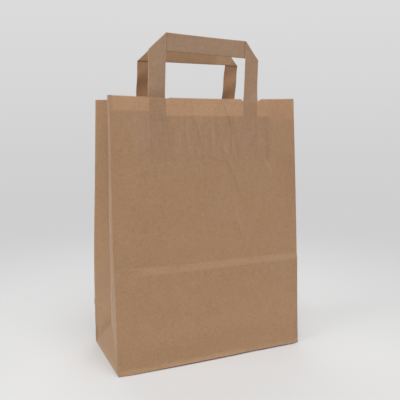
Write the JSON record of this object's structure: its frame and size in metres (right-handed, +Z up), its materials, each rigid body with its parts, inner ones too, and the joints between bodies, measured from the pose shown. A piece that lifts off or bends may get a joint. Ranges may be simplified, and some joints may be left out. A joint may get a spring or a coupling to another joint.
{
  "type": "paper carrier bag",
  "caption": "Standing brown paper carrier bag with a block bottom, side gussets folded inwards, a toothed top edge and flat tape handles glued inside under paper patches.",
  "frame": {"origin": "middle of the bottom, on the surface that the bag stands on", "axes": "+Z up, +X along the wide panels, -Y out of the front panel"},
  "size_m": [0.24, 0.11, 0.3792],
  "materials": {
    "brown_paper": "matt unbleached paper",
    "handle_tape": "matt unbleached paper, several plies",
    "patch_paper": "matt unbleached paper"
  },
  "bodies": {
    "root": {"bag_body": "brown_paper", "front_handle": "handle_tape", "back_handle": "handle_tape", "front_patch": "patch_paper", "back_patch": "patch_paper"}
  },
  "joints": []
}
